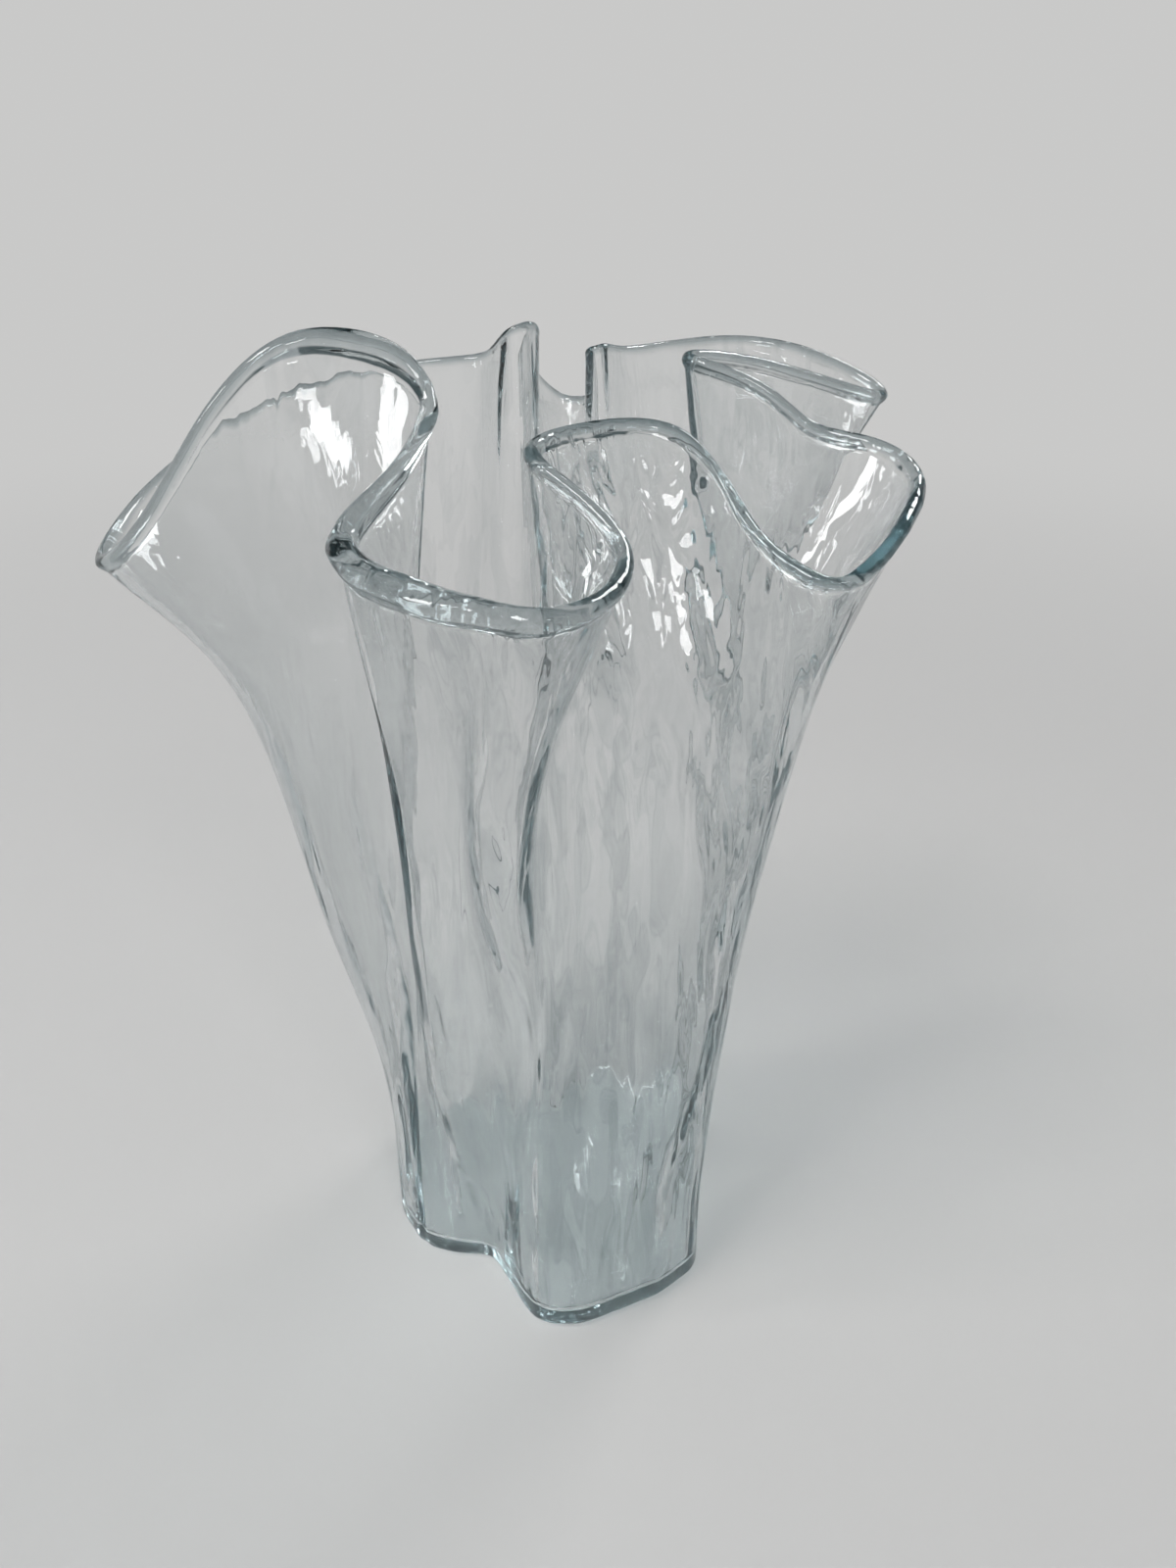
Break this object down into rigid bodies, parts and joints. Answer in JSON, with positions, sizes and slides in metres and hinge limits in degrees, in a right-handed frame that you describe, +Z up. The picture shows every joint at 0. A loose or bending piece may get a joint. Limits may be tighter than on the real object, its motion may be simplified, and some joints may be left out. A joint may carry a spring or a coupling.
{
  "type": "vase",
  "caption": "Ruffled handkerchief vase of clear blown glass, with a lobed, tucked-in rim that flares over a notched foot",
  "frame": {"origin": "middle of the foot, on the surface that the vase stands on", "axes": "+Z up; -Y is the side that the picture was taken from, with the front lobe; +X to the right as seen from there"},
  "size_m": [0.226, 0.194, 0.2843],
  "materials": {
    "glass": "clear, fire-polished"
  },
  "bodies": {
    "root": {"vase": "glass"}
  },
  "joints": []
}
